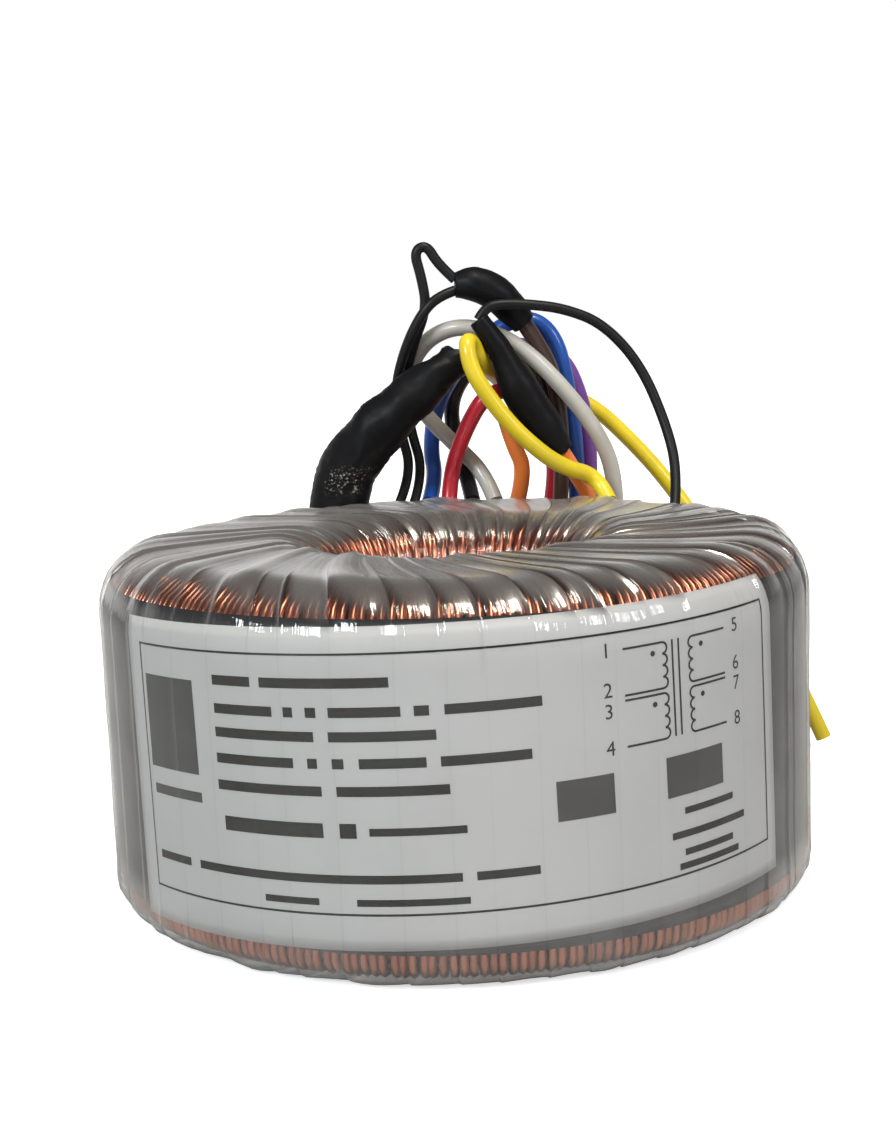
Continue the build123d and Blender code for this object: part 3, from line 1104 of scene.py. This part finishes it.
LEAD = 2.6 * MM
TAIL = 1.6 * MM
LEADS = (
    LeadRoute("lead_grey", (0.47, 0.45, 0.40), LEAD, 0.186, FarEnd.BARE, (
        (7.2, 43.6, 45.3), (5.8, 46.5, 49.4), (1.4, 47.8, 54.0), (-3.1, 48.0, 58.7),
        (-6.6, 45.6, 64.3), (-3.9, 43.0, 70.6), (1.3, 40.6, 73.4), (7.2, 39.9, 72.5),
        (12.7, 39.7, 69.2), (18.2, 40.6, 63.4), (23.7, 42.5, 56.1), (26.7, 45.0, 49.1),
        (27.0, 49.0, 36.0), (25.5, 52.0, 19.0), (18.0, 55.5, 4.5), (4.0, 57.6, 1.4),
        (-14.0, 58.4, 1.4), (-31.0, 56.5, 1.4), (-45.0, 50.0, 1.4))),
    LeadRoute("lead_blue", (0.012, 0.075, 0.36), LEAD, 0.175, FarEnd.BARE, (
        (-3.4, 44.1, 45.3), (-2.2, 50.0, 48.7), (-3.0, 52.5, 53.5), (-1.8, 51.5, 60.6),
        (2.1, 48.8, 66.9), (6.6, 47.4, 71.2), (10.7, 46.9, 73.9), (15.0, 46.6, 73.9),
        (18.0, 46.3, 70.4), (19.4, 46.5, 64.0), (20.5, 47.3, 56.2), (20.9, 48.8, 48.2),
        (20.4, 51.3, 34.0), (19.2, 55.5, 17.0),
        (12.0, 61.0, 4.5), (-2.0, 64.3, 1.4), (-19.0, 65.5, 1.4), (-36.0, 62.8, 1.4),
        (-50.0, 56.0, 1.4))),
    LeadRoute("lead_violet", (0.15, 0.05, 0.26), LEAD, 0.115, FarEnd.BARE, (
        (0.9, 38.0, 67.4), (4.6, 39.4, 69.4), (9.3, 43.8, 70.0), (14.2, 49.0, 69.6),
        (19.2, 50.2, 67.8), (22.0, 50.6, 61.2), (23.2, 51.1, 53.4), (23.1, 51.8, 45.5),
        (24.5, 54.5, 34.0), (26.5, 57.5, 17.0), (34.0, 60.5, 4.5), (46.0, 60.0, 1.4),
        (57.0, 54.0, 1.4)), ("primary_boot",)),
    LeadRoute("lead_brown", (0.055, 0.03, 0.022), LEAD, 0.114, FarEnd.BARE, (
        (12.6, 41.0, 73.4), (15.0, 41.7, 69.7), (17.2, 43.2, 65.0), (18.1, 44.4, 58.6),
        (18.4, 46.0, 51.2), (17.3, 48.7, 36.0), (14.0, 53.5, 20.0), (8.0, 58.6, 5.5),
        (-6.0, 60.9, 1.4), (-20.0, 61.8, 1.4), (-34.0, 59.5, 1.4))),
    LeadRoute("lead_red", (0.50, 0.015, 0.03), LEAD, 0.140, FarEnd.BARE, (
        (-0.2, 44.2, 45.3), (0.1, 45.4, 48.8), (1.4, 43.0, 53.7), (3.8, 40.6, 59.0),
        (6.1, 39.6, 62.3), (9.6, 41.6, 63.2), (13.2, 44.8, 62.8), (15.5, 46.8, 58.9),
        (16.8, 49.2, 53.5), (17.5, 50.4, 47.6), (14.5, 53.5, 33.0), (10.0, 59.0, 18.0),
        (0.0, 67.6, 4.6), (-14.0, 70.0, 1.4), (-30.0, 69.2, 1.4), (-44.0, 64.5, 1.4))),
    LeadRoute("lead_black", BLACK_RUBBER, LEAD, 0.153, FarEnd.BARE, (
        (3.6, 44.1, 45.3), (2.9, 49.0, 49.0), (1.0, 53.2, 55.3), (0.6, 54.4, 61.2),
        (4.1, 53.2, 66.7), (9.1, 52.2, 69.1), (13.7, 53.0, 68.4), (16.4, 54.0, 63.6),
        (17.5, 54.4, 55.6), (18.0, 54.6, 48.9), (16.0, 57.0, 33.0), (13.0, 61.5, 17.0),
        (4.0, 72.5, 4.5), (-10.0, 75.0, 1.4), (-26.0, 74.6, 1.4), (-41.0, 70.5, 1.4))),
    LeadRoute("lead_orange", (0.88, 0.22, 0.04), LEAD, 0.113, FarEnd.BARE, (
        (17.7, 38.5, 53.3), (20.1, 41.0, 49.4), (22.8, 44.5, 44.7), (24.0, 47.6, 32.0),
        (24.0, 47.9, 18.0), (18.5, 49.2, 6.5), (9.0, 50.4, 6.5), (4.5, 50.8, 19.0),
        (7.0, 50.4, 33.0), (12.6, 46.2, 49.2), (10.2, 44.4, 54.6), (9.2, 43.8, 58.8))),
    LeadRoute("lead_yellow", (0.68, 0.52, 0.015), LEAD, 0.145, FarEnd.BARE, (
        (24.8, 36.6, 45.3), (23.6, 40.4, 49.0), (17.3, 34.8, 51.1), (11.2, 33.0, 56.3),
        (6.8, 32.4, 61.8), (3.9, 31.8, 66.7), (3.3, 32.4, 70.9), (4.2, 35.2, 71.0),
        (5.7, 37.0, 67.4), (7.8, 43.5, 65.4), (10.7, 50.5, 62.4), (15.0, 57.0, 61.8),
        (19.9, 59.8, 61.2), (25.1, 59.0, 58.8), (31.2, 57.4, 52.6), (36.5, 56.5, 46.3),
        (47.0, 56.0, 31.0), (56.8, 55.3, 14.0), (61.9, 53.2, 1.6))),
    LeadRoute("tail_right", BLACK_RUBBER, TAIL, 0.052, FarEnd.FITTING, (
        (34.0, 28.3, 45.3), (34.9, 31.5, 50.3), (33.7, 34.5, 57.2), (30.2, 36.6, 66.4),
        (24.6, 37.4, 72.9), (18.6, 37.2, 75.4), (13.4, 36.7, 76.2), (9.3, 36.5, 76.5),
        (6.5, 36.3, 76.1), (5.4, 36.2, 74.2)), ("splice_sleeve_middle",)),
    LeadRoute("tail_left", BLACK_RUBBER, TAIL, 0.050, FarEnd.FITTING, (
        (-5.9, 43.8, 45.3), (-4.1, 46.2, 50.1), (-5.9, 44.2, 57.1), (-6.7, 42.8, 63.9),
        (-4.9, 40.6, 70.7), (-2.5, 40.0, 76.3), (-3.2, 39.8, 81.2), (-4.2, 39.8, 85.0),
        (-2.2, 39.8, 86.0), (-0.5, 39.6, 82.9), (2.0, 39.3, 80.5)), ("splice_sleeve_arch",)),
    LeadRoute("tail_back", BLACK_RUBBER, TAIL, 0.040, FarEnd.FITTING, (
        (-8.3, 43.4, 45.3), (-5.9, 44.8, 50.3), (-7.6, 43.2, 57.3), (-8.1, 41.6, 64.0),
        (-6.1, 39.0, 70.4), (-3.4, 38.2, 75.4), (-0.7, 38.2, 78.0), (2.0, 38.9, 78.8)),
        ("splice_sleeve_arch",)),
)


@dataclass
class Leads:
    """The flexible leads and sleeved winding ends."""

    bevel_steps: int = 5
    curve_steps: int = 14

    def _curve(self, lead: LeadRoute) -> bpy.types.Curve:
        """Smooth round cord through the route's points."""
        curve = bpy.data.curves.new(lead.name, "CURVE")
        curve.dimensions = "3D"
        curve.bevel_depth = lead.diameter / 2
        curve.bevel_resolution = self.bevel_steps
        curve.use_fill_caps = True
        spline = curve.splines.new("NURBS")
        spline.points.add(len(lead.route) - 1)
        for point, (x, y, z) in zip(spline.points, lead.route):
            point.co = (x * MM, y * MM, z * MM, 1.0)
        spline.order_u = 3
        spline.use_endpoint_u = True
        spline.resolution_u = self.curve_steps
        return curve

    def build(self, sleeves: dict[str, bpy.types.Object]) -> None:
        """Makes each lead.

        Args:
            sleeves: The sleeves by the name of the node that each stands for. Not used.
        """
        for lead in LEADS:
            rubbery = lead.name.startswith("tail")
            finish = PlainFinish(
                lead.name,
                lead.colour,
                roughness=0.42 if rubbery else 0.30,
                coat=0.0 if rubbery else 0.15,
                specular=0.25 if rubbery else 0.5,
                grain_scale=900.0,
                grain_depth=0.02 * MM,
            )
            slot = "tail_black" if rubbery else lead.name
            piece = link_piece(f"{lead.name}_run", self._curve(lead), finish.build(), slot, lead.name)


@dataclass(frozen=True)
class SleeveForm:
    """A shrunk sleeve: centre points in millimetres, each with a diameter, and its wrinkles."""

    node: str
    stations: tuple[tuple[Point, float], ...]
    lump: float
    wrinkle: float
    steps: int


SLEEVES = (
    SleeveForm("primary_boot", (
        ((-19.0, 43.0, 42.0), 9.0), ((-17.5, 41.0, 46.8), 9.2), ((-15.6, 39.5, 52.3), 9.0),
        ((-11.2, 37.8, 57.5), 8.6), ((-6.0, 37.0, 62.3), 7.5), ((0.9, 38.0, 67.4), 5.6),
        ((2.0, 38.4, 68.6), 5.0)), 0.45, 0.16, 14),
    SleeveForm("splice_sleeve_arch", (
        ((2.0, 39.2, 79.6), 3.9), ((5.1, 39.4, 79.6), 5.4), ((8.2, 39.8, 78.2), 5.6),
        ((10.6, 40.4, 75.8), 5.1), ((12.6, 41.0, 73.4), 4.0)), 0.12, 0.05, 10),
    SleeveForm("splice_sleeve_middle", (
        ((5.4, 36.2, 74.2), 3.0), ((8.5, 36.4, 69.4), 3.8), ((11.5, 36.9, 63.2), 6.0),
        ((14.9, 37.7, 57.5), 6.1), ((17.7, 38.5, 53.3), 4.0)), 0.12, 0.05, 12),
)


@dataclass
class Sleeves:
    """The shrunk sleeves over the splices that show."""

    sides: int = 40
    lump_pitch: float = 260.0
    wrinkle_pitch: float = 900.0
    wrinkle_squeeze: float = 2.5

    @staticmethod
    def _between(stations: Sequence[tuple[Point, float]], steps: int) -> list[tuple[Vector, float]]:
        """Rounds the stations off into a smooth run of closely spaced ones.

        Args:
            stations: Centre and diameter pairs.
            steps: Steps from each station to the next.

        Returns:
            Centres in metres, each with its radius.
        """
        places = [Vector(centre) * MM for centre, _ in stations]
        radii = [diameter / 2 * MM for _, diameter in stations]
        result = []
        for i in range(len(places) - 1):
            before = places[max(i - 1, 0)]
            after = places[min(i + 2, len(places) - 1)]
            start, stop = places[i], places[i + 1]
            for step in range(steps):
                t = step / steps
                blend = t * t * (3 - 2 * t)
                lean_in = (stop - before) / 2
                lean_out = (after - start) / 2
                place = (
                    start * (2 * t**3 - 3 * t**2 + 1)
                    + lean_in * (t**3 - 2 * t**2 + t)
                    + stop * (-2 * t**3 + 3 * t**2)
                    + lean_out * (t**3 - t**2)
                )
                result.append((place, radii[i] * (1 - blend) + radii[i + 1] * blend))
        result.append((places[-1], radii[-1]))
        return result

    def build(self) -> dict[str, bpy.types.Object]:
        """Makes each sleeve and gives them by node name."""
        black = PlainFinish(
            "shrunk_tube",
            (0.006, 0.006, 0.007),
            roughness=0.42,
            specular=0.13,
            grain_scale=700.0,
            grain_depth=0.06 * MM,
        )
        tube = black.build()
        # The boot's finish carries painted highlights: pale specks that stand for glints.
        boot = replace(black, name="painted_glint_boot", crackle=Crackle()).build()
        made = {}
        for form in SLEEVES:
            run = self._between(form.stations, form.steps)
            stations = []
            for i, (place, radius) in enumerate(run):
                along = run[min(i + 1, len(run) - 1)][0] - run[max(i - 1, 0)][0]
                stations.append((place, along.normalized(), radius))
            bm = bmesh.new()
            tube_rings(bm, stations, self.sides, closed=False)
            for vert in bm.verts:
                lump = noise.noise(vert.co * self.lump_pitch) * form.lump
                squeezed = Vector((vert.co.x, vert.co.y, vert.co.z * self.wrinkle_squeeze))
                wrinkle = noise.noise(squeezed * self.wrinkle_pitch) * form.wrinkle
                vert.co += vert.normal * (lump + wrinkle) * MM
            name = f"{form.node}_skin"
            skin = boot if form.node == "primary_boot" else tube
            made[form.node] = link_piece(name, mesh_from(bm, name), skin, "sleeve_black", form.node)
        return made


@dataclass
class HiddenRing:
    """Finishes of the pieces under the outer winding."""

    def build(self) -> None:
        """Gives each inner node its material."""
        nylon = PlainFinish("cap_nylon", (0.70, 0.66, 0.55), 0.45)
        primary = TurnsFinish("primary_turns", 300)
        finishes = {
            "core": PlainFinish("core_steel", (0.30, 0.30, 0.31), 0.35, metallic=1.0),
            "core_cap_top": nylon,
            "core_cap_bottom": nylon,
            "primary_winding_a": primary,
            "primary_winding_b": primary,
            "interwinding_barrier": PlainFinish("barrier_film", (0.55, 0.46, 0.22), 0.3),
            "secondary_winding_a": TurnsFinish("secondary_turns", 236),
        }
        for name, finish in finishes.items():
            node = frame["nodes"][name]
            node.data.materials.clear()
            node.data.materials.append(finish.build())
            LOG.info("%s dressed", name)


@dataclass(frozen=True)
class SoftLamp:
    """Rectangular soft light that faces the ring."""

    name: str
    place: Point
    size: Pair
    power: float
    colour: Colour
    aim: Point = (0.0, 0.0, 0.03)

    def add(self) -> None:
        """Adds the light to the scene."""
        data = bpy.data.lights.new(self.name, "AREA")
        data.shape = "RECTANGLE"
        data.size, data.size_y = self.size
        data.energy = self.power
        data.color = self.colour
        lamp = bpy.data.objects.new(self.name, data)
        lamp.location = self.place
        aim = Vector(self.aim) - Vector(self.place)
        lamp.rotation_euler = aim.to_track_quat("-Z", "Y").to_euler()
        bpy.context.scene.collection.objects.link(lamp)


LAMPS = (
    SoftLamp("ceiling", (0.10, -0.30, 0.80), (0.16, 0.28), 5.4, (1.0, 0.93, 0.82)),
    SoftLamp("window", (-0.52, -0.68, 0.50), (0.24, 0.24), 5.2, (0.86, 0.93, 1.0)),
    SoftLamp("side_window", (0.62, -0.50, 0.42), (0.20, 0.20), 2.0, (0.92, 0.95, 1.0)),
)


@dataclass
class Studio:
    """Floor, light and camera. The camera's angles are in radians, its distance in metres."""

    distance: float = 0.2375
    elevation: float = 0.320
    focal_px: float = 1682.6
    pitch: float = 0.148
    yaw: float = -0.003
    roll: float = -0.039
    sensor: float = 36.0
    near_clip: float = 0.01
    floor_reach: float = 3.0
    floor_gap: float = 0.2 * MM
    floor_colour: Colour = (0.85, 0.85, 0.85)
    floor_glow: float = 0.62
    bounce_colour: Colour = (0.40, 0.40, 0.40)
    fill: float = 0.72
    room_least: float = 0.035

    def camera(self) -> None:
        """Places the camera where the photograph was taken from."""
        forward = Vector(
            (
                math.sin(self.yaw) * math.cos(self.pitch),
                math.cos(self.yaw) * math.cos(self.pitch),
                -math.sin(self.pitch),
            )
        )
        right = forward.cross(Vector((0, 0, 1))).normalized()
        up = right.cross(forward)
        turned_right = right * math.cos(self.roll) + up * math.sin(self.roll)
        turned_up = up * math.cos(self.roll) - right * math.sin(self.roll)
        data = bpy.data.cameras.new("photo_camera")
        data.sensor_width = self.sensor
        data.lens = self.focal_px * self.sensor / PHOTO_HEIGHT_PX
        data.clip_start = self.near_clip
        camera = bpy.data.objects.new("photo_camera", data)
        bpy.context.scene.collection.objects.link(camera)
        axes = Matrix((turned_right, turned_up, -forward)).transposed().to_4x4()
        place = Vector((0, -math.cos(self.elevation), math.sin(self.elevation))) * self.distance
        camera.matrix_world = Matrix.Translation(place) @ axes
        bpy.context.scene.camera = camera

    def floor(self) -> None:
        """Plain pale floor that fades to white."""
        bm = bmesh.new()
        bmesh.ops.create_grid(bm, x_segments=1, y_segments=1, size=self.floor_reach)
        mesh = mesh_from(bm, "floor", smooth=False)
        graph = Graph.of_material("floor_paper")
        paper = graph.field("ShaderNodeBsdfDiffuse", inputs={"Color": self.floor_colour})
        dimmed = graph.field("ShaderNodeBsdfDiffuse", inputs={"Color": self.bounce_colour})
        glow = graph.field("ShaderNodeEmission", inputs={"Color": WHITE, "Strength": self.floor_glow})
        bright = graph.field("ShaderNodeAddShader", inputs={0: paper, 1: glow})
        seen = graph.field("ShaderNodeLightPath", output="Is Camera Ray")
        mesh.materials.append(graph.finish(graph.blend(seen, dimmed, bright)))
        floor = bpy.data.objects.new("floor", mesh)
        floor.location.z = -self.floor_gap
        bpy.context.scene.collection.objects.link(floor)

    def _room(self, graph: Graph) -> Field:
        """Brightness of the room as gloss sees it: brightest low behind and to the left, dark overhead."""
        x, y, z = graph.split(graph.field("ShaderNodeTexCoord", output="Generated"))
        behind = y.ramp(0.10, 0.55) * z.ramp(0.62, 0.02, to_high=0.70)
        left = x.ramp(-0.03, -0.50, to_high=0.42) * z.ramp(0.42, 0.20)
        return behind + left + self.room_least

    def light(self) -> None:
        """Soft lamps, and a world that is white to the camera and a dim room to gloss."""
        for lamp in LAMPS:
            lamp.add()
        graph = Graph(bpy.data.worlds.new("studio"))
        bpy.context.scene.world = graph.owner
        around, room, white = (
            graph.field("ShaderNodeBackground", inputs={"Color": WHITE, "Strength": strength})
            for strength in (self.fill, self._room(graph), 1.0)
        )
        gloss = graph.field("ShaderNodeLightPath", output="Is Glossy Ray")
        seen = graph.field("ShaderNodeLightPath", output="Is Camera Ray")
        lit = graph.blend(seen, graph.blend(gloss, around, room), white)
        graph.finish(lit, "ShaderNodeOutputWorld")

    def build(self) -> None:
        """Makes the studio."""
        self.camera()
        self.floor()
        self.light()
        bpy.context.scene.view_settings.view_transform = "Standard"


def main() -> None:
    """Builds the classes in order."""
    logging.basicConfig(level=logging.INFO, format="%(message)s")
    Studio().build()
    ring = ring_from_frame()
    HiddenRing().build()
    OuterWinding(ring).build()
    OuterBand(ring).build()
    Label(ring).build()
    OuterFilm(ring).build()
    Leads().build(Sleeves().build())


if __name__ == "__main__":
    main()
